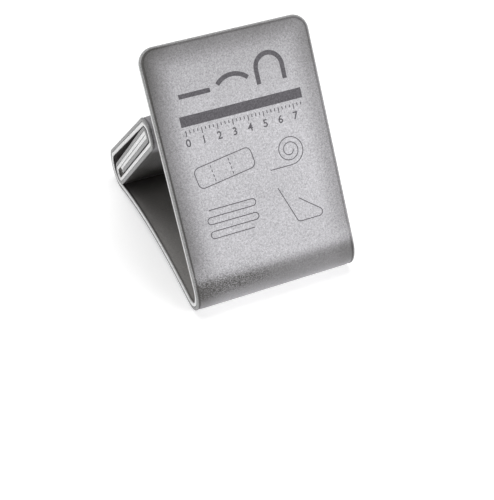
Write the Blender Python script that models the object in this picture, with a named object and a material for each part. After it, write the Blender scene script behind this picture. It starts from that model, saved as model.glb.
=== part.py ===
# Folded foam splint: one long strip of two foam plies, bent so that it stands on a table.
#
# From its rounded free end the strip runs down the upright front panel, round the bottom
# fold, along the bowed base panel and round the far bend. There it starts a flat roll of
# four layers that lies over the base and ends with the other free end inside the roll.
#
# +Z is up, X runs across the strip, and the upright panel faces -Y. The origin is at the
# middle of the strip's width, under the middle of the object, on the table.

import math

import bmesh
import bpy

MM = 0.001

# The flat strip, in metres
STRIP_WIDTH = 108.0 * MM
STRIP_THICKNESS = 5.0 * MM
PLY_GAP = 0.3 * MM
CORNER_RADIUS = 10.0 * MM

# The edge of a ply, from its side wall over the rim and groove to its face
SEAM_SOFTNESS = 0.3 * MM
EDGE_ROUND = 0.7 * MM
RIM_WIDTH = 0.4 * MM
GROOVE_WIDTH = 1.2 * MM
GROOVE_DEPTH = 0.45 * MM
PILLOW_WIDTH = 4.0 * MM
PILLOW_DROP = 0.25 * MM

# The upright front panel and the fold under it; radii are those of the strip's mid-plane
FRONT_PANEL_LENGTH = 146.2 * MM
FOLD_RADIUS = 14.4 * MM
FOLD_TURN = 127.0

# The base panel bows up between its two resting lines
BASE_PANEL_LENGTH = 143.7 * MM
BASE_PANEL_BOW = 20.8
BASE_TAIL_LENGTH = 8.0 * MM

# The roll: the top layer opens away from the others by a narrow wedge
LAYER_GAP = 0.4 * MM
BOTTOM_LAYER_GAP = 1.0 * MM
FAR_BEND_SLACK = 2.0 * MM
FAR_BEND_TURN = 153.0
TOP_LAYER_LENGTH = 128.5 * MM
WEDGE_ANGLE = 2.6
NEST_GAP = 0.5 * MM
INNER_FOLD_SETBACK = 5.0 * MM
FREE_END_SETBACK = 5.7 * MM

# The front bend of the roll: a shoulder, a flat, a brow, an upright flat and a chin
SHOULDER_RADIUS = 8.0 * MM
SHOULDER_TURN = 33.0
SHOULDER_FLAT = 4.0 * MM
BROW_RADIUS = 5.0 * MM
BROW_TURN = 67.0
CHIN_RADIUS = 5.0 * MM

# How finely bends and rounded corners are divided
BEND_STEP_DEGREES = 14.0
BOW_STEP_DEGREES = 4.0
CORNER_STEPS = 4


class Centreline:
    # The strip's mid-plane seen from the side: stations of (s, y, z, heading), where s is
    # the length run so far and a heading of 0 points along +Y

    def __init__(self, heading):
        self.stations = [(0.0, 0.0, 0.0, math.radians(heading))]

    @property
    def end(self):
        return self.stations[-1]

    def run(self, length):
        s, y, z, heading = self.end
        self.stations.append((s + length, y + length * math.cos(heading),
                              z + length * math.sin(heading), heading))

    def bend(self, radius, turn, step=BEND_STEP_DEGREES):
        # A positive turn is to the left, which keeps the printed ply outside
        side = math.copysign(1.0, turn)
        s, y, z, heading = self.end
        centre_y = y - side * radius * math.sin(heading)
        centre_z = z + side * radius * math.cos(heading)
        steps = max(2, math.ceil(abs(turn) / step))
        for i in range(1, steps + 1):
            angle = heading + math.radians(turn) * i / steps
            self.stations.append((s + radius * math.radians(abs(turn)) * i / steps,
                                  centre_y + side * radius * math.sin(angle),
                                  centre_z - side * radius * math.cos(angle), angle))
        return centre_y, centre_z

    def placed(self, turn, shift_y, shift_z):
        # The same path turned by an angle in radians, and then shifted
        cos, sin = math.cos(turn), math.sin(turn)
        self.stations = [(s, y * cos - z * sin + shift_y, y * sin + z * cos + shift_z, h + turn)
                         for s, y, z, h in self.stations]
        return self

    def at(self, s):
        # The point and heading at length s, read between two stations
        for first, second in zip(self.stations, self.stations[1:]):
            if s <= second[0]:
                share = (s - first[0]) / (second[0] - first[0])
                return tuple(a + (b - a) * share for a, b in zip(first[1:], second[1:]))
        return self.end[1:]


def run_to_wall(point, heading, wall_point, wall_heading, distance):
    # How far to run from a point before it is only this distance from a wall, on its left
    offset = ((wall_point[1] - point[1]) * math.cos(wall_heading)
              - (wall_point[0] - point[0]) * math.sin(wall_heading))
    return (offset + distance) / math.sin(heading - wall_heading)


def front_bend(path, drop):
    # Turns the top layer back under itself, this drop lower measured across the layers
    chin_turn = 180.0 - WEDGE_ANGLE - SHOULDER_TURN - BROW_TURN
    below = [math.radians(180.0 - WEDGE_ANGLE), math.radians(180.0 - WEDGE_ANGLE - SHOULDER_TURN),
             math.radians(chin_turn), 0.0]
    curved = sum(radius * (math.cos(b) - math.cos(a)) for radius, a, b in zip(
        (SHOULDER_RADIUS, BROW_RADIUS, CHIN_RADIUS), below, below[1:]))
    upright_flat = (drop - curved - SHOULDER_FLAT * math.sin(below[1])) / math.sin(below[2])
    path.bend(SHOULDER_RADIUS, SHOULDER_TURN)
    path.run(SHOULDER_FLAT)
    path.bend(BROW_RADIUS, BROW_TURN)
    path.run(upright_flat)
    path.bend(CHIN_RADIUS, chin_turn)


def splint_path():
    pitch = STRIP_THICKNESS + LAYER_GAP
    u_turn_radius = pitch + (BOTTOM_LAYER_GAP - LAYER_GAP) / 2.0
    path = Centreline(-90.0)
    path.run(FRONT_PANEL_LENGTH)
    fold_centre = path.bend(FOLD_RADIUS, FOLD_TURN)
    bow_radius = BASE_PANEL_LENGTH / math.radians(BASE_PANEL_BOW)
    path.bend(bow_radius, -BASE_PANEL_BOW, BOW_STEP_DEGREES)
    tail_point, tail_heading = path.end[1:3], path.end[3]
    path.run(BASE_TAIL_LENGTH)
    far_radius = 2.0 * pitch + FAR_BEND_SLACK
    far_centre = path.bend(far_radius, FAR_BEND_TURN)
    path.run(TOP_LAYER_LENGTH)
    front_bend(path, pitch + 2.0 * u_turn_radius)

    # The bottom layer ends where its U-turn would meet the base panel
    s, y, z, heading = path.end
    turn_centre_line = (y - u_turn_radius * math.sin(heading),
                        z + u_turn_radius * math.cos(heading))
    reach = u_turn_radius + STRIP_THICKNESS + NEST_GAP
    bottom_layer_length = run_to_wall(turn_centre_line, heading, tail_point, tail_heading, reach)
    path.run(bottom_layer_length)
    path.bend(u_turn_radius, 180.0)
    inner_layer_length = bottom_layer_length - INNER_FOLD_SETBACK
    path.run(inner_layer_length)
    path.bend(pitch / 2.0, 180.0)
    path.run(inner_layer_length - FREE_END_SETBACK)

    # Set down on the table: the fold and the far bend touch it along one line each
    dy, dz = far_centre[0] - fold_centre[0], far_centre[1] - fold_centre[1]
    turn = -math.atan2(dz, dy) + math.asin((far_radius - FOLD_RADIUS) / math.hypot(dy, dz))
    path.placed(turn, 0.0, 0.0)
    half = STRIP_THICKNESS / 2.0
    outer = [(y + half * math.sin(h), z - half * math.cos(h)) for s, y, z, h in path.stations]
    ys, zs = [p[0] for p in outer], [p[1] for p in outer]
    return path.placed(0.0, -(min(ys) + max(ys)) / 2.0, -min(zs))


def outline(path, inset):
    # The strip's outline drawn flat, moved in by the inset, as rows of (s, half width)
    # from one free end to the other; both ends have rounded corners
    total = path.end[0]
    radius = CORNER_RADIUS - inset
    half = STRIP_WIDTH / 2.0
    rows = []
    for i in range(CORNER_STEPS + 1):
        angle = math.radians(90.0) * i / CORNER_STEPS
        rows.append((CORNER_RADIUS - radius * math.cos(angle),
                     half - CORNER_RADIUS + radius * math.sin(angle)))
    middle = [(s, half - inset) for s, y, z, h in path.stations
              if CORNER_RADIUS < s < total - CORNER_RADIUS]
    far_rows = [(total - s, width) for s, width in reversed(rows)]
    return rows + middle + far_rows


def ply(name, path, side, material):
    # One foam ply: side is 1 for the printed, outer ply and -1 for the inner one
    seam = PLY_GAP / 2.0
    face = STRIP_THICKNESS / 2.0
    rim = EDGE_ROUND + RIM_WIDTH
    levels = [
        (SEAM_SOFTNESS, seam),
        (0.0, seam + SEAM_SOFTNESS),
        (0.0, face - EDGE_ROUND),
        (EDGE_ROUND * (1.0 - math.sqrt(0.5)), face - EDGE_ROUND * (1.0 - math.sqrt(0.5))),
        (EDGE_ROUND, face),
        (rim, face),
        (rim + GROOVE_WIDTH / 2.0, face - GROOVE_DEPTH),
        (rim + GROOVE_WIDTH, face - PILLOW_DROP),
        (rim + GROOVE_WIDTH + PILLOW_WIDTH, face),
    ]
    mesh = bpy.data.meshes.new(name)
    bm = bmesh.new()
    rings = []
    for inset, height in levels:
        left, right = [], []
        for s, half in outline(path, inset):
            y, z, heading = path.at(s)
            y += side * height * math.sin(heading)
            z -= side * height * math.cos(heading)
            left.append(bm.verts.new((-half, y, z)))
            right.append(bm.verts.new((half, y, z)))
        rings.append((left, right))
    for (left, right), (next_left, next_right) in zip(rings, rings[1:]):
        loop, next_loop = left + right[::-1], next_left + next_right[::-1]
        for i in range(len(loop)):
            j = (i + 1) % len(loop)
            bm.faces.new((loop[i], loop[j], next_loop[j], next_loop[i]))
    for left, right in (rings[0], rings[-1]):
        for i in range(len(left) - 1):
            bm.faces.new((left[i], left[i + 1], right[i + 1], right[i]))
    bmesh.ops.recalc_face_normals(bm, faces=bm.faces)
    bm.to_mesh(mesh)
    bm.free()
    mesh.materials.append(material)
    mesh.shade_smooth()
    mesh.set_sharp_from_angle(angle=math.radians(30.0))
    obj = bpy.data.objects.new(name, mesh)
    bpy.context.scene.collection.objects.link(obj)
    return obj


def foam(name, colour):
    material = bpy.data.materials.new(name)
    material.use_nodes = True
    shader = material.node_tree.nodes["Principled BSDF"]
    shader.inputs["Base Color"].default_value = (*colour, 1.0)
    shader.inputs["Roughness"].default_value = 0.6
    shader.inputs["Metallic"].default_value = 0.0
    return material


def main():
    for obj in list(bpy.data.objects):
        bpy.data.objects.remove(obj, do_unlink=True)
    path = splint_path()
    ply("foam_outer", path, 1.0, foam("grey_foam", (0.42, 0.42, 0.43)))
    ply("foam_inner", path, -1.0, foam("light_foam", (0.62, 0.61, 0.6)))


main()
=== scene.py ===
import math

import bmesh
import bpy
from mathutils import Matrix, Vector


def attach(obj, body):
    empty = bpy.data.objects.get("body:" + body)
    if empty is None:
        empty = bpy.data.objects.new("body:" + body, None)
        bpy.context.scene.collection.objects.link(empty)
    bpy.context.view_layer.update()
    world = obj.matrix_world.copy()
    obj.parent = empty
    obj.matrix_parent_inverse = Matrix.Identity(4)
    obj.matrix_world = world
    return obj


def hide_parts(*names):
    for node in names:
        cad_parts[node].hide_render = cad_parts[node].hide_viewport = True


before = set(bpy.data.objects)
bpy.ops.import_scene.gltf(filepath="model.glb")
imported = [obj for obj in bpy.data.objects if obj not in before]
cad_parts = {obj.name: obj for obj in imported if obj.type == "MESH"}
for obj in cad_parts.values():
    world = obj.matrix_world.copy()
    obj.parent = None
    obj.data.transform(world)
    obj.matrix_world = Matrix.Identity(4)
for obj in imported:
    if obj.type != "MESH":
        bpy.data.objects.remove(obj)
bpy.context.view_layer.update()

# Folded foam splint: two foam plies bent along one path, with a plain print on the front.
# Flat pieces are drawn with x across the strip, y along it from the free end of the front
# panel, and z up from the strip's middle. A node tree then bends them along the path.

mm = 0.001


# The path of the strip, seen from its side

strip = {
    "width": 108.0 * mm,
    "thickness": 5.0 * mm,
    "cornerRadius": 10.0 * mm,
    "frontPanel": 146.2 * mm,
    "foldRadius": 14.4 * mm,
    "foldTurn": 127.0,  # turns and angles are in degrees
    "basePanel": 143.7 * mm,
    "baseBow": 20.8,
    "baseTail": 8.0 * mm,
    "layerGap": 0.4 * mm,
    "bottomLayerGap": 1.0 * mm,
    "farBendSlack": 2.0 * mm,
    "farBendTurn": 153.0,
    "topLayer": 128.5 * mm,
    "wedgeAngle": 2.6,
    "nestGap": 0.5 * mm,
    "innerFoldSetback": 5.0 * mm,
    "freeEndSetback": 5.7 * mm,
    "shoulderRadius": 8.0 * mm,
    "shoulderTurn": 33.0,
    "shoulderFlat": 4.0 * mm,
    "browRadius": 5.0 * mm,
    "browTurn": 67.0,
    "chinRadius": 5.0 * mm,
    "bendStep": 2.5,
    "bowStep": 0.4,
    "runStep": 1.0 * mm,
}


class Centreline:
    # Stations of (s, y, z, heading): s is the length so far, and heading 0 points along +Y
    def __init__(self, heading):
        self.stations = [(0.0, 0.0, 0.0, math.radians(heading))]

    def run(self, length):
        s, y, z, heading = self.stations[-1]
        steps = max(1, math.ceil(length / strip["runStep"]))
        for i in range(1, steps + 1):
            part = length * i / steps
            self.stations.append((s + part, y + part * math.cos(heading),
                                  z + part * math.sin(heading), heading))

    def bend(self, radius, turn, step=None):
        side = math.copysign(1.0, turn)
        s, y, z, heading = self.stations[-1]
        centreY = y - side * radius * math.sin(heading)
        centreZ = z + side * radius * math.cos(heading)
        steps = max(2, math.ceil(abs(turn) / (step or strip["bendStep"])))
        for i in range(1, steps + 1):
            angle = heading + math.radians(turn) * i / steps
            self.stations.append((s + radius * math.radians(abs(turn)) * i / steps,
                                  centreY + side * radius * math.sin(angle),
                                  centreZ - side * radius * math.cos(angle), angle))
        return centreY, centreZ

    def place(self, turn, shiftY, shiftZ):
        cos, sin = math.cos(turn), math.sin(turn)
        self.stations = [(s, y * cos - z * sin + shiftY, y * sin + z * cos + shiftZ, h + turn)
                         for s, y, z, h in self.stations]


def addFrontBend(path, drop):
    # Turns the top layer back under itself, this drop lower across the layers
    chinTurn = 180.0 - strip["wedgeAngle"] - strip["shoulderTurn"] - strip["browTurn"]
    below = [math.radians(180.0 - strip["wedgeAngle"]),
             math.radians(180.0 - strip["wedgeAngle"] - strip["shoulderTurn"]),
             math.radians(chinTurn), 0.0]
    radii = [strip["shoulderRadius"], strip["browRadius"], strip["chinRadius"]]
    curved = sum(radius * (math.cos(b) - math.cos(a))
                 for radius, a, b in zip(radii, below, below[1:]))
    upright = (drop - curved - strip["shoulderFlat"] * math.sin(below[1])) / math.sin(below[2])
    path.bend(strip["shoulderRadius"], strip["shoulderTurn"])
    path.run(strip["shoulderFlat"])
    path.bend(strip["browRadius"], strip["browTurn"])
    path.run(upright)
    path.bend(strip["chinRadius"], chinTurn)


def makePath():
    pitch = strip["thickness"] + strip["layerGap"]
    uTurnRadius = pitch + (strip["bottomLayerGap"] - strip["layerGap"]) / 2.0
    path = Centreline(-90.0)
    path.run(strip["frontPanel"])
    foldCentre = path.bend(strip["foldRadius"], strip["foldTurn"])
    path.bend(strip["basePanel"] / math.radians(strip["baseBow"]), -strip["baseBow"],
              strip["bowStep"])
    s, tailY, tailZ, tailHeading = path.stations[-1]
    path.run(strip["baseTail"])
    farRadius = 2.0 * pitch + strip["farBendSlack"]
    farCentre = path.bend(farRadius, strip["farBendTurn"])
    path.run(strip["topLayer"])
    addFrontBend(path, pitch + 2.0 * uTurnRadius)

    # The bottom layer ends where its U-turn would meet the base panel
    s, y, z, heading = path.stations[-1]
    turnY = y - uTurnRadius * math.sin(heading)
    turnZ = z + uTurnRadius * math.cos(heading)
    reach = uTurnRadius + strip["thickness"] + strip["nestGap"]
    offset = (tailZ - turnZ) * math.cos(tailHeading) - (tailY - turnY) * math.sin(tailHeading)
    bottomLayer = (offset + reach) / math.sin(heading - tailHeading)
    path.run(bottomLayer)
    path.bend(uTurnRadius, 180.0)
    path.run(bottomLayer - strip["innerFoldSetback"])
    path.bend(pitch / 2.0, 180.0)
    path.run(bottomLayer - strip["innerFoldSetback"] - strip["freeEndSetback"])

    # Set down on the table, on the fold and the far bend
    dy = farCentre[0] - foldCentre[0]
    dz = farCentre[1] - foldCentre[1]
    turn = math.asin((farRadius - strip["foldRadius"]) / math.hypot(dy, dz)) - math.atan2(dz, dy)
    path.place(turn, 0.0, 0.0)
    half = strip["thickness"] / 2.0
    ys = [y + half * math.sin(h) for s, y, z, h in path.stations]
    zs = [z - half * math.cos(h) for s, y, z, h in path.stations]
    path.place(0.0, -(min(ys) + max(ys)) / 2.0, -min(zs))
    return path.stations


stations = makePath()
stripLength = stations[-1][0]
print("path of", round(stripLength / mm, 1), "mm in", len(stations), "stations")


# Small helpers for objects and curves

def linkPiece(name, data):
    # Puts a mesh, curve, text, lamp or camera into the scene
    piece = bpy.data.objects.new(name, data)
    bpy.context.scene.collection.objects.link(piece)
    return piece


def makePathCurve():
    curve = bpy.data.curves.new("stripPath", "CURVE")
    curve.dimensions = "3D"
    spline = curve.splines.new("POLY")
    spline.points.add(len(stations) - 1)
    for point, (s, y, z, h) in zip(spline.points, stations):
        point.co = (0.0, y, z, 1.0)
    return linkPiece("stripPath", curve)


# Node helpers for both kinds of tree

class Link:
    # Wraps a socket so that node maths reads as an expression
    def __init__(self, nodes, socket):
        self.nodes = nodes
        self.socket = socket

    def maths(self, operation, first, second):
        node = self.nodes.node("ShaderNodeMath", {"operation": operation}, _0=first, _1=second)
        return node.out(0)

    def __add__(self, other):
        return self.maths("ADD", self, other)

    def __radd__(self, other):
        return self.maths("ADD", other, self)

    def __sub__(self, other):
        return self.maths("SUBTRACT", self, other)

    def __rsub__(self, other):
        return self.maths("SUBTRACT", other, self)

    def __mul__(self, other):
        return self.maths("MULTIPLY", self, other)

    def __rmul__(self, other):
        return self.maths("MULTIPLY", other, self)


class NodeResult:
    def __init__(self, nodes, node):
        self.nodes = nodes
        self.node = node

    def out(self, which):
        return Link(self.nodes, self.node.outputs[which])


class NodeMaker:
    # One method adds any node; a socket named _0, _1 and so on goes by its place
    def __init__(self, tree):
        self.tree = tree

    def node(self, kind, settings=None, **values):
        node = self.tree.nodes.new(kind)
        for name, value in (settings or {}).items():
            setattr(node, name, value)
        for name, value in values.items():
            socket = node.inputs[int(name[1:])] if name[1:].isdigit() else node.inputs[name]
            self.feed(socket, value)
        return NodeResult(self, node)

    def feed(self, socket, value):
        if isinstance(value, Link):
            self.tree.links.new(value.socket, socket)
        else:
            socket.default_value = value

    def vectors(self, operation, **values):
        return self.node("ShaderNodeVectorMath", {"operation": operation}, **values).out(0)


# The node tree that bends a flat piece along the path

unevenness = {
    "share": 0.12,  # how far a point rises and sinks, as a share of its height
    "scale": 30.0,
    "detail": 1.0,
}


def makeBendTree():
    tree = bpy.data.node_groups.new("bendAlongPath", "GeometryNodeTree")
    sockets = (("Flat piece", "NodeSocketGeometry"), ("Path", "NodeSocketObject"),
               ("Material", "NodeSocketMaterial"), ("Unevenness", "NodeSocketFloat"),
               ("Uneven size", "NodeSocketFloat"), ("Seed", "NodeSocketFloat"))
    for name, kind in sockets:
        tree.interface.new_socket(name, in_out="INPUT", socket_type=kind)
    tree.interface.new_socket("Bent piece", in_out="OUTPUT", socket_type="NodeSocketGeometry")
    make = NodeMaker(tree)
    given = make.node("NodeGroupInput")
    flat = make.node("ShaderNodeSeparateXYZ", _0=make.node("GeometryNodeInputPosition").out(0))
    flatX, flatY, flatZ = [flat.out(i) for i in range(3)]

    # Each point reads the path's place and direction at its own length
    path = make.node("GeometryNodeObjectInfo", {"transform_space": "RELATIVE"},
                     _0=given.out("Path"))
    spot = make.node("GeometryNodeSampleCurve", {"mode": "LENGTH", "use_all_curves": True},
                     Curves=path.out("Geometry"), Length=flatY)
    across = make.node("ShaderNodeCombineXYZ", _0=1.0).out(0)
    outward = make.vectors("CROSS_PRODUCT", _0=spot.out("Tangent"), _1=across)
    outward = make.vectors("NORMALIZE", _0=outward)

    # Foam is never quite flat: faces rise and sink a little, in step with their height
    noise = make.node("ShaderNodeTexNoise", {"noise_dimensions": "4D"}, W=given.out("Seed"),
                      Scale=given.out("Uneven size"), Detail=unevenness["detail"]).out(0)
    height = flatZ * ((noise - 0.5) * given.out("Unevenness") + 1.0)
    lift = make.vectors("SCALE", _0=outward, Scale=height)
    aside = make.node("ShaderNodeCombineXYZ", _0=flatX).out(0)
    place = make.vectors("ADD", _0=spot.out("Position"), _1=aside)
    place = make.vectors("ADD", _0=place, _1=lift)
    bent = make.node("GeometryNodeSetPosition", Geometry=given.out("Flat piece"), Position=place)
    real = make.node("GeometryNodeRealizeInstances", _0=bent.out(0))
    done = make.node("GeometryNodeSetMaterial", _0=real.out(0), Material=given.out("Material"))
    make.node("NodeGroupOutput", _0=done.out(0))
    return tree


bendTree = makeBendTree()
pathCurve = makePathCurve()
print("bend tree with", len(bendTree.nodes), "nodes")


def bend(piece, material, seed):
    # Runs the tree on a flat piece and keeps the result as a plain mesh
    values = {"Path": pathCurve, "Material": material, "Unevenness": unevenness["share"],
              "Uneven size": unevenness["scale"], "Seed": seed}
    modifier = piece.modifiers.new("bend", "NODES")
    modifier.node_group = bendTree
    for socket in bendTree.interface.items_tree:
        if socket.in_out == "INPUT" and socket.name in values:
            modifier[socket.identifier] = values[socket.name]
    graph = bpy.context.evaluated_depsgraph_get()
    mesh = bpy.data.meshes.new_from_object(piece.evaluated_get(graph), depsgraph=graph)
    piece.modifiers.clear()
    flatMesh = piece.data
    piece.data = mesh
    mesh.name = piece.name
    bpy.data.meshes.remove(flatMesh)

    # Length runs down the front, so the flat drawing is a mirror image until it is bent
    bm = bmesh.new()
    bm.from_mesh(mesh)
    bmesh.ops.recalc_face_normals(bm, faces=bm.faces)
    bm.to_mesh(mesh)
    bm.free()
    return piece


# Materials

class Finish(NodeMaker):
    # A material with one Principled shader, and short names for the nodes used most
    def __init__(self, name, colour, roughness):
        self.material = bpy.data.materials.new(name)
        self.material.use_nodes = True
        super().__init__(self.material.node_tree)
        self.shader = self.tree.nodes["Principled BSDF"]
        self.set("Base Color", (*colour, 1.0))
        self.set("Roughness", roughness)
        self.place = self.node("ShaderNodeTexCoord").out("Object")

    def set(self, name, value):
        self.feed(self.shader.inputs[name], value)

    def noise(self, scale, detail, roughness=0.5):
        return self.node("ShaderNodeTexNoise", Vector=self.place, Scale=scale, Detail=detail,
                         Roughness=roughness).out(0)

    def ramp(self, value, low, high):
        # Goes from 0 to 1 as the value goes from low to high
        node = self.node("ShaderNodeMapRange", {"interpolation_type": "SMOOTHSTEP"}, _0=value,
                         _1=low, _2=high, _3=0.0, _4=1.0)
        return node.out(0)

    def attribute(self, name):
        return self.node("ShaderNodeAttribute", {"attribute_name": name}).out("Fac")

    def mix(self, factor, first, second):
        # From the first colour to the second
        node = self.node("ShaderNodeMix", {"data_type": "RGBA"}, _0=factor, _6=first, _7=second)
        return node.out(2)

    def bump(self, height, distance):
        self.set("Normal", self.node("ShaderNodeBump", Height=height, Distance=distance).out(0))


def grey(level, warmth=0.0):
    # A grey in linear light; warmth above 0 turns it a little towards brown
    return (level * (1.0 + warmth), level, level * (1.0 - warmth))


# The foam plies: one grey and one light, each a flat strip with a pressed edge

plyEdge = {
    "plyGap": 0.3 * mm,
    "seamSoftness": 0.3 * mm,
    "seamCorner": 0.3,  # share of the softness that is left at the middle of the seam's round
    "round": 0.7 * mm,
    "rim": 0.4 * mm,
    "groove": 1.2 * mm,
    "grooveDepth": 0.45 * mm,
    "pillow": 4.0 * mm,
    "pillowDrop": 0.25 * mm,
    "roundSteps": 5,
    "grooveSteps": 6,
    "pillowSteps": 4,
    "cornerSteps": 12,
    "columns": 16,
    "rowSpacing": 2.9 * mm,
    "rowTurn": 2.4,  # in degrees
    "rowMargin": 0.5 * mm,
    "straight": 1e-6,  # stations that turn less than this, in radians, are on a straight
}


def edgeLevels():
    # The ply's section from its seam over side wall, rim and groove to its face
    seam = plyEdge["plyGap"] / 2.0
    face = strip["thickness"] / 2.0
    soft = plyEdge["seamSoftness"]
    corner = soft * plyEdge["seamCorner"]
    levels = [(soft, seam), (corner, seam + corner), (0.0, seam + soft)]
    steps = plyEdge["roundSteps"]
    for i in range(steps + 1):
        angle = math.radians(90.0) * i / steps
        levels.append((plyEdge["round"] * (1.0 - math.cos(angle)),
                       face - plyEdge["round"] * (1.0 - math.sin(angle))))
    rim = plyEdge["round"] + plyEdge["rim"]
    levels.append((rim, face))
    steps = plyEdge["grooveSteps"]
    for i in range(1, steps + 1):
        part = i / steps
        bottom = plyEdge["pillowDrop"] if part > 0.5 else 0.0
        dip = (1.0 - math.cos(2.0 * math.pi * part)) / 2.0
        levels.append((rim + plyEdge["groove"] * part,
                       face - bottom - (plyEdge["grooveDepth"] - bottom) * dip))
    steps = plyEdge["pillowSteps"]
    for i in range(1, steps + 1):
        part = i / steps
        levels.append((rim + plyEdge["groove"] + plyEdge["pillow"] * part,
                       face - plyEdge["pillowDrop"] * (1.0 - part) ** 2))
    return levels


def rowLengths():
    # Rows stand close together in the bends and further apart on the straights
    first = strip["cornerRadius"] + plyEdge["rowMargin"]
    rows = []
    for before, here, after in zip(stations, stations[1:], stations[2:]):
        if not first < here[0] < stripLength - first:
            continue
        straightBefore = abs(here[3] - before[3]) < plyEdge["straight"]
        straightAfter = abs(after[3] - here[3]) < plyEdge["straight"]
        last = rows[-1] if rows else (strip["cornerRadius"], here[3])
        hasTurned = abs(math.degrees(here[3] - last[1])) >= plyEdge["rowTurn"]
        hasRun = here[0] - last[0] >= plyEdge["rowSpacing"]
        if straightBefore != straightAfter or hasTurned or hasRun:
            rows.append((here[0], here[3]))
    return [s for s, heading in rows]


def outlineRows(inset):
    # The flat strip's outline moved in by the inset: rows of (s, half width)
    corner = strip["cornerRadius"]
    radius = corner - inset
    half = strip["width"] / 2.0
    rows = []
    for i in range(plyEdge["cornerSteps"] + 1):
        angle = math.radians(90.0) * i / plyEdge["cornerSteps"]
        rows.append((corner - radius * math.cos(angle), half - corner + radius * math.sin(angle)))
    middle = [(s, half - inset) for s in rowLengths()]
    return rows + middle + [(stripLength - s, width) for s, width in reversed(rows)]


def makeFlatPly(name, side):
    # side is 1 for the outer, printed ply and -1 for the inner one
    mesh = bpy.data.meshes.new(name)
    bm = bmesh.new()
    marks = [bm.verts.layers.float.new(mark) for mark in ("inset", "along", "across")]
    columns = plyEdge["columns"]
    half = strip["width"] / 2.0

    def makeVert(x, s, height, inset):
        vert = bm.verts.new((x, s, side * height))
        for mark, value in zip(marks, (inset, s, x)):
            vert[mark] = value / mm
        return vert

    def makeLoop(inset, height):
        rows = outlineRows(inset)
        left = [makeVert(-width, s, height, inset) for s, width in rows]
        right = [makeVert(width, s, height, inset) for s, width in rows]
        ends = []
        for s, width in (rows[-1], rows[0]):
            ends.append([makeVert(width * (2.0 * j / columns - 1.0), s, height, inset)
                         for j in range(1, columns)])
        far, near = ends
        return rows, left, right, far, near

    def fill(loop, height):
        rows, left, right, far, near = loop
        lines = []
        for i, (s, width) in enumerate(rows):
            if i in (0, len(rows) - 1):
                inner = far if i else near
            else:
                inner = []
                for j in range(1, columns):
                    x = width * (2.0 * j / columns - 1.0)
                    depth = min(half - abs(x), s, stripLength - s)
                    inner.append(makeVert(x, s, height, depth))
            lines.append([left[i], *inner, right[i]])
        for line, nextLine in zip(lines, lines[1:]):
            for j in range(columns):
                bm.faces.new((line[j], line[j + 1], nextLine[j + 1], nextLine[j]))

    loops = []
    levels = edgeLevels()
    for inset, height in levels:
        loops.append(makeLoop(inset, height))
    rings = [left + far + right[::-1] + near[::-1] for rows, left, right, far, near in loops]
    for ring, nextRing in zip(rings, rings[1:]):
        for i in range(len(ring)):
            j = (i + 1) % len(ring)
            bm.faces.new((ring[i], ring[j], nextRing[j], nextRing[i]))
    fill(loops[0], levels[0][1])
    fill(loops[-1], levels[-1][1])
    bm.to_mesh(mesh)
    bm.free()
    return linkPiece(name, mesh)


# Foam finishes; scales are in waves a metre, and places on the strip in millimetres

foamLooks = {
    "grain": 950.0,
    "grainDetail": 3.0,
    "grainRoughness": 0.7,
    "grainHeight": 0.28 * mm,
    "grainInBump": 0.7,
    "grainInRoughness": 0.3,
    "fineGrain": 2200.0,
    "fineDetail": 1.0,
    "cloud": 24.0,
    "cloudDetail": 2.0,
    # Places of the painted shade on the margins and along the left side
    "marginFrom": 1.5,
    "frontFade": (128.0, 150.0),
    "frontShare": 0.75,
    "leftMarginAt": (-28.0, -54.0),
    "leftGrooveAt": (-45.0, -53.0),
    "wallEnds": 0.75,
    "wallSoftness": 0.35,
    "grooveCentre": 1.7,
    "grooveReach": 0.9,
    "fleck": 1500.0,
    "fleckDetail": 2.0,
    "fleckRange": (0.56, 0.42),
    "calmSpan": ((146.0, 156.0), (176.0, 190.0)),
    "calmShare": 0.5,
}


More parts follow.
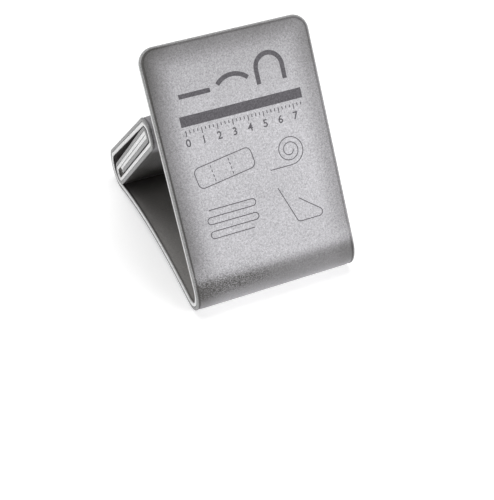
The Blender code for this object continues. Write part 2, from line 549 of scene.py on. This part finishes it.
def makeFoamFinish(name, looks):
    # Every shade is how far the foam goes from its face grey to its dark grey; some shades are
    # the foam's own tone and some are painted shade
    finish = Finish(name, looks["face"], looks["roughness"])
    inset = finish.attribute("inset")
    along = finish.attribute("along")
    across = finish.attribute("across")
    grain = finish.noise(foamLooks["grain"], foamLooks["grainDetail"],
                         foamLooks["grainRoughness"])
    fine = finish.noise(foamLooks["fineGrain"], foamLooks["fineDetail"])
    cloud = finish.noise(foamLooks["cloud"], foamLooks["cloudDetail"])

    def within(start, end):
        # 1 on the stretch of strip between these two places, each a soft step
        return finish.ramp(along, *start) * (1 - finish.ramp(along, *end))

    shade = looks["base"] + (cloud - 0.5) * looks["cloudShade"]

    # Painted shade: the margin is darkened where the pillowed face turns from the light, darkest
    # on the front panel, and on its left side
    margin = 1 - finish.ramp(inset, foamLooks["marginFrom"], looks["marginReach"])
    onFront = 1 - finish.ramp(along, *foamLooks["frontFade"]) * foamLooks["frontShare"]
    leftMargin = finish.ramp(across, *foamLooks["leftMarginAt"]) * looks["leftPaintedShade"]
    shade = shade + (margin * looks["marginPaintedShade"] + leftMargin) * onFront

    # Painted shade in the pressed groove, deeper along its left side, and bands of tone and
    # painted shade that change along the strip
    grooveCentre = foamLooks["grooveCentre"]
    pastRim = finish.ramp(inset, foamLooks["wallEnds"], grooveCentre)
    inGroove = 1 - finish.ramp(inset, grooveCentre, grooveCentre + foamLooks["grooveReach"])
    leftGroovePaintedShade = finish.ramp(across, *foamLooks["leftGrooveAt"]) * looks["leftGroovePaintedShade"]
    shade = shade + pastRim * inGroove * (leftGroovePaintedShade + looks["groovePaintedShade"])
    for start, end, tone in looks["tonesAndPaintedShade"]:
        shade = shade + within(start, end) * tone

    # Coarse dark flecks near the fold, most of them on the left
    flecks = finish.ramp(finish.noise(foamLooks["fleck"], foamLooks["fleckDetail"]),
                         *foamLooks["fleckRange"])
    leftSide = finish.ramp(across, *looks["fleckSide"])
    shade = shade + flecks * within(*looks["fleckSpan"]) * leftSide * looks["fleckShade"]

    # The cut edge has a tone of its own
    colour = finish.mix(shade, (*looks["face"], 1.0), (*looks["dark"], 1.0))
    onWall = 1 - finish.ramp(inset, foamLooks["wallEnds"] - foamLooks["wallSoftness"],
                             foamLooks["wallEnds"] + foamLooks["wallSoftness"])
    colour = finish.mix(onWall, colour, (*looks["wall"], 1.0))

    # The grain lightens and darkens every tone by the same share, less on the fold
    calm = 1 - within(*foamLooks["calmSpan"]) * foamLooks["calmShare"]
    grainTone = (grain - 0.5) * looks["grainShade"] + (fine - 0.5) * looks["fineShade"]
    finish.set("Base Color", finish.vectors("SCALE", _0=colour, Scale=1 + grainTone * calm))
    finish.set("Roughness", looks["roughness"] + (grain - 0.5) * foamLooks["grainInRoughness"])
    share = foamLooks["grainInBump"]
    finish.bump(grain * share + fine * (1 - share), foamLooks["grainHeight"])
    return finish.material


# A band of tone or painted shade is (where it comes in, where it goes out, how dark)

greyFoam = makeFoamFinish("greyFoam", {
    "face": (0.472, 0.465, 0.488),
    "dark": grey(0.05, 0.05),
    "wall": grey(0.27),
    "roughness": 0.55,
    "base": 0.09,
    "grainShade": 1.55,
    "fineShade": 1.0,
    "cloudShade": 0.2,
    # Painted shade on the margin, the left side and in the groove
    "marginReach": 19.0,
    "marginPaintedShade": 0.42,
    "leftPaintedShade": 0.20,
    "groovePaintedShade": 0.12,
    "leftGroovePaintedShade": 0.30,
    # Bands: painted shade at the top of the front panel, painted shade on the fold where it turns
    # down, a darker tone past the front panel, painted shadow on the roll's underside (two
    # bands), and a thin painted shade line where the fold starts
    "tonesAndPaintedShade": [((-40.0, -20.0), (0.0, 70.0), 0.24), ((139.0, 149.0), (155.0, 170.0), 0.52),
              ((162.0, 180.0), (950.0, 960.0), 0.10), ((518.0, 535.0), (636.0, 650.0), 0.58),
              ((550.0, 640.0), (650.0, 660.0), 0.25), ((142.0, 147.0), (150.0, 160.0), 0.10)],
    "fleckSpan": ((132.0, 146.0), (150.0, 157.0)),
    "fleckSide": (14.0, -30.0),
    "fleckShade": 0.38,
})
lightFoam = makeFoamFinish("lightFoam", {
    "face": grey(0.40, 0.03),
    "dark": (0.046, 0.040, 0.039),
    "wall": grey(0.74),
    "roughness": 0.6,
    "base": 0.10,
    "grainShade": 0.8,
    "fineShade": 0.4,
    "cloudShade": 0.2,
    # Painted shade on the margin and in the groove
    "marginReach": 8.0,
    "marginPaintedShade": 0.1,
    "leftPaintedShade": 0.0,
    "groovePaintedShade": 0.4,
    "leftGroovePaintedShade": 0.0,
    # Bands: painted shadow on the base's inner face, deepest towards the crease under the roll,
    # and near-black painted shadow on the inner face inside the roll
    "tonesAndPaintedShade": [((200.0, 330.0), (335.0, 345.0), 0.46), ((285.0, 322.0), (335.0, 345.0), 0.42),
              ((330.0, 345.0), (628.0, 638.0), 0.85), ((672.0, 682.0), (950.0, 960.0), 0.85)],
    "fleckSpan": ((140.0, 150.0), (170.0, 180.0)),
    "fleckSide": (8.0, -45.0),
    "fleckShade": 0.1,
})

plies = {
    "foamOuter": {"side": 1, "node": "foam_outer", "slot": "grey_foam", "material": greyFoam,
                  "seed": 1.0},
    "foamInner": {"side": -1, "node": "foam_inner", "slot": "light_foam", "material": lightFoam,
                  "seed": 4.0},
}
for name, ply in plies.items():
    piece = bend(makeFlatPly(name, ply["side"]), ply["material"], ply["seed"])
    piece.data.shade_smooth()
    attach(piece, "root")
    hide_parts(ply["node"])
    print("made", name, "with", len(piece.data.vertices), "points")


# The print on the front panel: plain marks, a ruler and small line drawings. Places on the
# panel are (across, down) in millimetres.

ink = {
    "sunk": 2.40 * mm,
    "top": 2.55 * mm,
    "pointSpacing": 4.0 * mm,
    "mitreLimit": 0.5,
    "weld": 0.001 * mm,
    "dark": (0.045, 0.042, 0.049),
    "light": (0.104, 0.097, 0.110),
    "roughness": 0.6,
    "grain": 1100.0,
    "grainDetail": 3.0,
    "grainRoughness": 0.65,
    "grainRange": (0.3, 0.75),
    "grainHeight": 0.168 * mm,
}


def spacedPoints(points, closed):
    # Adds points to long runs, so that a line follows the foam under it
    spaced = []
    ends = points[1:] + points[:1] if closed else points[1:]
    for (x, s), (nextX, nextS) in zip(points, ends):
        steps = max(1, math.ceil(math.hypot(nextX - x, nextS - s) * mm / ink["pointSpacing"]))
        for i in range(steps):
            spaced.append((x + (nextX - x) * i / steps, s + (nextS - s) * i / steps))
    return spaced if closed else spaced + [points[-1]]


def circlePart(x, s, radius, start, end, steps=24):
    # Angles in degrees: 0 points right and 90 points down the panel
    angles = [math.radians(start + (end - start) * i / steps) for i in range(steps + 1)]
    return [(x + radius * math.cos(a), s + radius * math.sin(a)) for a in angles]


def roundedBox(left, top, right, bottom, radius, steps=6):
    corners = ((right - radius, top + radius, -90.0), (right - radius, bottom - radius, 0.0),
               (left + radius, bottom - radius, 90.0), (left + radius, top + radius, 180.0))
    return [point for x, s, start in corners
            for point in circlePart(x, s, radius, start, start + 90.0, steps)]


def turned(points, degrees, x, s):
    # Turns points about one point of the panel
    cos, sin = math.cos(math.radians(degrees)), math.sin(math.radians(degrees))
    return [(x + (px - x) * cos - (ps - s) * sin, s + (px - x) * sin + (ps - s) * cos)
            for px, ps in points]


def drawLine(bm, points, width, closed=False):
    # One flat band of ink with mitred corners; points and width are in millimetres
    points = spacedPoints(points, closed)
    count = len(points)
    sides = ([], [])
    for i, (x, s) in enumerate(points):
        before = points[i - 1] if closed or i else points[i]
        after = points[(i + 1) % count] if closed or i < count - 1 else points[i]
        first = Vector((x - before[0], s - before[1])).normalized()
        second = Vector((after[0] - x, after[1] - s)).normalized()
        along = (first + second).normalized()
        stretch = 1.0 / max(ink["mitreLimit"], along.dot(second if second.length else first))
        offset = Vector((-along.y, along.x)) * (width / 2.0 * stretch)
        for side, sign in zip(sides, (1.0, -1.0)):
            side.append([bm.verts.new(((x + sign * offset.x) * mm, (s + sign * offset.y) * mm, z))
                         for z in (ink["sunk"], ink["top"])])
    left, right = sides
    for i in range(count if closed else count - 1):
        j = (i + 1) % count
        section = [left[i][0], left[i][1], right[i][1], right[i][0]]
        nextSection = [left[j][0], left[j][1], right[j][1], right[j][0]]
        for k in range(4):
            m = (k + 1) % 4
            bm.faces.new((section[k], section[m], nextSection[m], nextSection[k]))
    if not closed:
        for i in (0, count - 1):
            bm.faces.new((left[i][0], left[i][1], right[i][1], right[i][0]))


boldMarks = {
    "line": 2.8,
    "straight": [(-36.0, 32.0), (-16.0, 32.0)],
    "bowCentre": (-1.0, 40.0),
    "bowRadius": 14.0,
    "bowAngles": (225.0, 315.0),
    "archCentre": (23.5, 27.0),
    "archRadius": 8.5,
    "archFoot": 36.0,
    "bar": [(-38.5, 46.7), (40.4, 46.7)],
    "barLine": 6.3,
}


def drawBoldMarks(bm):
    # The same strip straight, bowed and folded, then the long bar
    line = boldMarks["line"]
    drawLine(bm, boldMarks["straight"], line)
    drawLine(bm, circlePart(*boldMarks["bowCentre"], boldMarks["bowRadius"],
                            *boldMarks["bowAngles"]), line)
    x, s = boldMarks["archCentre"]
    radius = boldMarks["archRadius"]
    foot = boldMarks["archFoot"]
    arch = [(x - radius, foot)] + circlePart(x, s, radius, 180.0, 360.0) + [(x + radius, foot)]
    drawLine(bm, arch, line)
    drawLine(bm, boldMarks["bar"], boldMarks["barLine"])


ruler = {
    "left": -36.5,
    "step": 2.5,
    "count": 30,
    "stepsToNumber": 4,
    "top": 52.2,
    "short": 1.8,
    "long": 3.4,
    "line": 0.55,
    "numberFoot": 61.8,
    "numberHeight": 4.8,
    "digitShare": 0.72,  # how tall a digit is, as a share of the font's size
    "numberSwell": 0.08 * mm,
    "curveSteps": 4,
}


def drawNumber(bm, number, x):
    # A plain number, centred at x
    curve = bpy.data.curves.new("number", "FONT")
    curve.body = str(number)
    curve.size = ruler["numberHeight"] * mm / ruler["digitShare"]
    curve.align_x = "CENTER"
    curve.resolution_u = ruler["curveSteps"]
    curve.extrude = (ink["top"] - ink["sunk"]) / 2.0
    curve.offset = ruler["numberSwell"]
    holder = linkPiece("number", curve)
    graph = bpy.context.evaluated_depsgraph_get()
    mesh = bpy.data.meshes.new_from_object(holder.evaluated_get(graph), depsgraph=graph)
    place = Vector((x * mm, ruler["numberFoot"] * mm, (ink["top"] + ink["sunk"]) / 2.0))
    mesh.transform(Matrix.Translation(place) @ Matrix.Scale(-1.0, 4, (0, 1, 0)))
    bm.from_mesh(mesh)
    bpy.data.objects.remove(holder)
    bpy.data.meshes.remove(mesh)


def drawRuler(bm):
    for i in range(ruler["count"] + 1):
        x = ruler["left"] + i * ruler["step"]
        hasNumber = i % ruler["stepsToNumber"] == 0
        length = ruler["long"] if hasNumber else ruler["short"]
        drawLine(bm, [(x, ruler["top"]), (x, ruler["top"] + length)], ruler["line"])
        if hasNumber:
            drawNumber(bm, i // ruler["stepsToNumber"], x)


smallDrawings = {
    "line": 0.52,
    "flat": {"box": (-37.0, 73.0, 1.0, 86.0), "corner": 3.5, "tilt": (-8.0, -18.0, 80.0),
             "folds": (-26.0, -14.0), "dashes": 4, "firstDash": 74.4, "dashPitch": 2.9,
             "dash": 1.6},
    "rolled": {"centre": (25.0, 79.0), "innerRadius": 2.2, "growth": 7.2, "turnStep": 10.0,
               "points": 82, "tailEnd": 10.0},
    "folded": {"start": (-34.0, 102.0), "middle": -20.0, "half": 14.0, "radius": 2.2,
               "bends": 4, "steps": 8, "tailEnd": -8.0},
    "standing": {"top": (12.0, 100.0), "radius": 2.6, "fold": (22.6, 121.4, 170.0, 90.0, 6),
                 "farBend": (35.0, 121.4, 90.0, -60.0, 8), "end": (24.0, 109.5)},
}


def drawFlatStrip(bm, look):
    # Laid flat, with two dashed fold lines
    drawLine(bm, turned(roundedBox(*look["box"], look["corner"]), *look["tilt"]),
             smallDrawings["line"], closed=True)
    for x in look["folds"]:
        for i in range(look["dashes"]):
            top = look["firstDash"] + i * look["dashPitch"]
            dash = [(x, top), (x, top + look["dash"])]
            drawLine(bm, turned(dash, *look["tilt"]), smallDrawings["line"])


def drawRolledStrip(bm, look):
    # Rolled up, seen from its side
    x, s = look["centre"]
    coil = []
    for i in range(look["points"]):
        angle = math.radians(i * look["turnStep"])
        radius = look["innerRadius"] + look["growth"] * i / (look["points"] - 1)
        coil.append((x + radius * math.cos(angle), s + radius * math.sin(angle)))
    coil.append((look["tailEnd"], coil[-1][1]))
    drawLine(bm, coil, smallDrawings["line"])


def drawFoldedStrip(bm, look):
    # Folded to and fro
    folds = [look["start"]]
    radius = look["radius"]
    for i in range(look["bends"]):
        side = -1.0 if i % 2 else 1.0
        folds += circlePart(look["middle"] + side * look["half"], folds[-1][1] + radius, radius,
                            -90.0, -90.0 + side * 180.0, look["steps"])
    folds.append((look["tailEnd"], folds[-1][1]))
    drawLine(bm, folds, smallDrawings["line"])


def drawStandingStrip(bm, look):
    # Standing on its own
    stand = [look["top"]]
    for x, s, start, end, steps in (look["fold"], look["farBend"]):
        stand += circlePart(x, s, look["radius"], start, end, steps)
    drawLine(bm, stand + [look["end"]], smallDrawings["line"])


def drawSmallDrawings(bm):
    drawFlatStrip(bm, smallDrawings["flat"])
    drawRolledStrip(bm, smallDrawings["rolled"])
    drawFoldedStrip(bm, smallDrawings["folded"])
    drawStandingStrip(bm, smallDrawings["standing"])


def makeInkFinish():
    finish = Finish("darkInk", ink["dark"], ink["roughness"])
    grain = finish.noise(ink["grain"], ink["grainDetail"], ink["grainRoughness"])
    tone = finish.ramp(grain, *ink["grainRange"])
    finish.set("Base Color", finish.mix(tone, (*ink["dark"], 1.0), (*ink["light"], 1.0)))
    finish.bump(grain, ink["grainHeight"])
    return finish.material


darkInk = makeInkFinish()
prints = {"boldMarks": drawBoldMarks, "rulerMarks": drawRuler, "smallDrawings": drawSmallDrawings}
for name, draw in prints.items():
    bm = bmesh.new()
    draw(bm)
    bmesh.ops.remove_doubles(bm, verts=bm.verts, dist=ink["weld"])
    mesh = bpy.data.meshes.new(name)
    bm.to_mesh(mesh)
    bm.free()
    piece = bend(linkPiece(name, mesh), darkInk, plies["foamOuter"]["seed"])
    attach(piece, "root")
    print("printed", name, "with", len(piece.data.polygons), "faces")


# The table, the light and the camera

studio = {
    "floorSize": 6.0,
    "floorGrey": 0.72,
    "floorGlow": 0.47,
    "floorRoughness": 0.7,
    "worldLight": 0.30,
    "aim": (0.0, -0.02, 0.07),
}
lamps = {
    "keyLamp": {"place": (0.55, -1.10, 0.65), "size": 0.7, "power": 10.0},
    "topLamp": {"place": (0.1, 0.1, 1.6), "size": 1.2, "power": 16.0},
    "sideLamp": {"place": (-1.5, 0.0, 0.12), "size": 0.3, "power": 6.0},
}
view = {  # the camera's place and axes, as solved from the outline in the photo
    "place": (-187.003 * mm, -557.730 * mm, 408.970 * mm),
    "right": (0.92190, -0.38243, -0.06199),
    "up": (0.27457, 0.53205, 0.80096),
    "back": (-0.27333, -0.75543, 0.59550),
    "lens": 73.97,
    "sensor": 36.0,
    "clip": (0.01, 50.0),
}


def makeFloor():
    half = studio["floorSize"] / 2.0
    mesh = bpy.data.meshes.new("floor")
    mesh.from_pydata([(-half, -half, 0.0), (half, -half, 0.0), (half, half, 0.0),
                      (-half, half, 0.0)], [], [(0, 1, 2, 3)])
    floor = linkPiece("floor", mesh)
    paleFloor = Finish("paleFloor", grey(studio["floorGrey"]), studio["floorRoughness"])
    paleFloor.set("Emission Color", (1.0, 1.0, 1.0, 1.0))
    paleFloor.set("Emission Strength", studio["floorGlow"])
    mesh.materials.append(paleFloor.material)


def makeLamp(name, look):
    lamp = bpy.data.lights.new(name, "AREA")
    lamp.size = look["size"]
    lamp.energy = look["power"]
    holder = linkPiece(name, lamp)
    holder.location = look["place"]
    aim = Vector(studio["aim"]) - Vector(look["place"])
    holder.rotation_euler = aim.to_track_quat("-Z", "Y").to_euler()


def makeCamera():
    lens = bpy.data.cameras.new("camera")
    lens.lens = view["lens"]
    lens.sensor_fit = "HORIZONTAL"
    lens.sensor_width = view["sensor"]
    lens.clip_start, lens.clip_end = view["clip"]
    camera = linkPiece("camera", lens)
    turn = Matrix((view["right"], view["up"], view["back"])).transposed()
    camera.matrix_world = Matrix.Translation(view["place"]) @ turn.to_4x4()
    bpy.context.scene.camera = camera


def lightWorld():
    world = bpy.data.worlds.new("studio")
    bpy.context.scene.world = world
    world.use_nodes = True
    background = world.node_tree.nodes["Background"]
    background.inputs["Color"].default_value = (1.0, 1.0, 1.0, 1.0)
    background.inputs["Strength"].default_value = studio["worldLight"]


makeFloor()
lightWorld()
for name, look in lamps.items():
    makeLamp(name, look)
makeCamera()
bpy.context.scene.view_settings.view_transform = "Standard"
bpy.data.objects.remove(pathCurve)
print("studio ready")
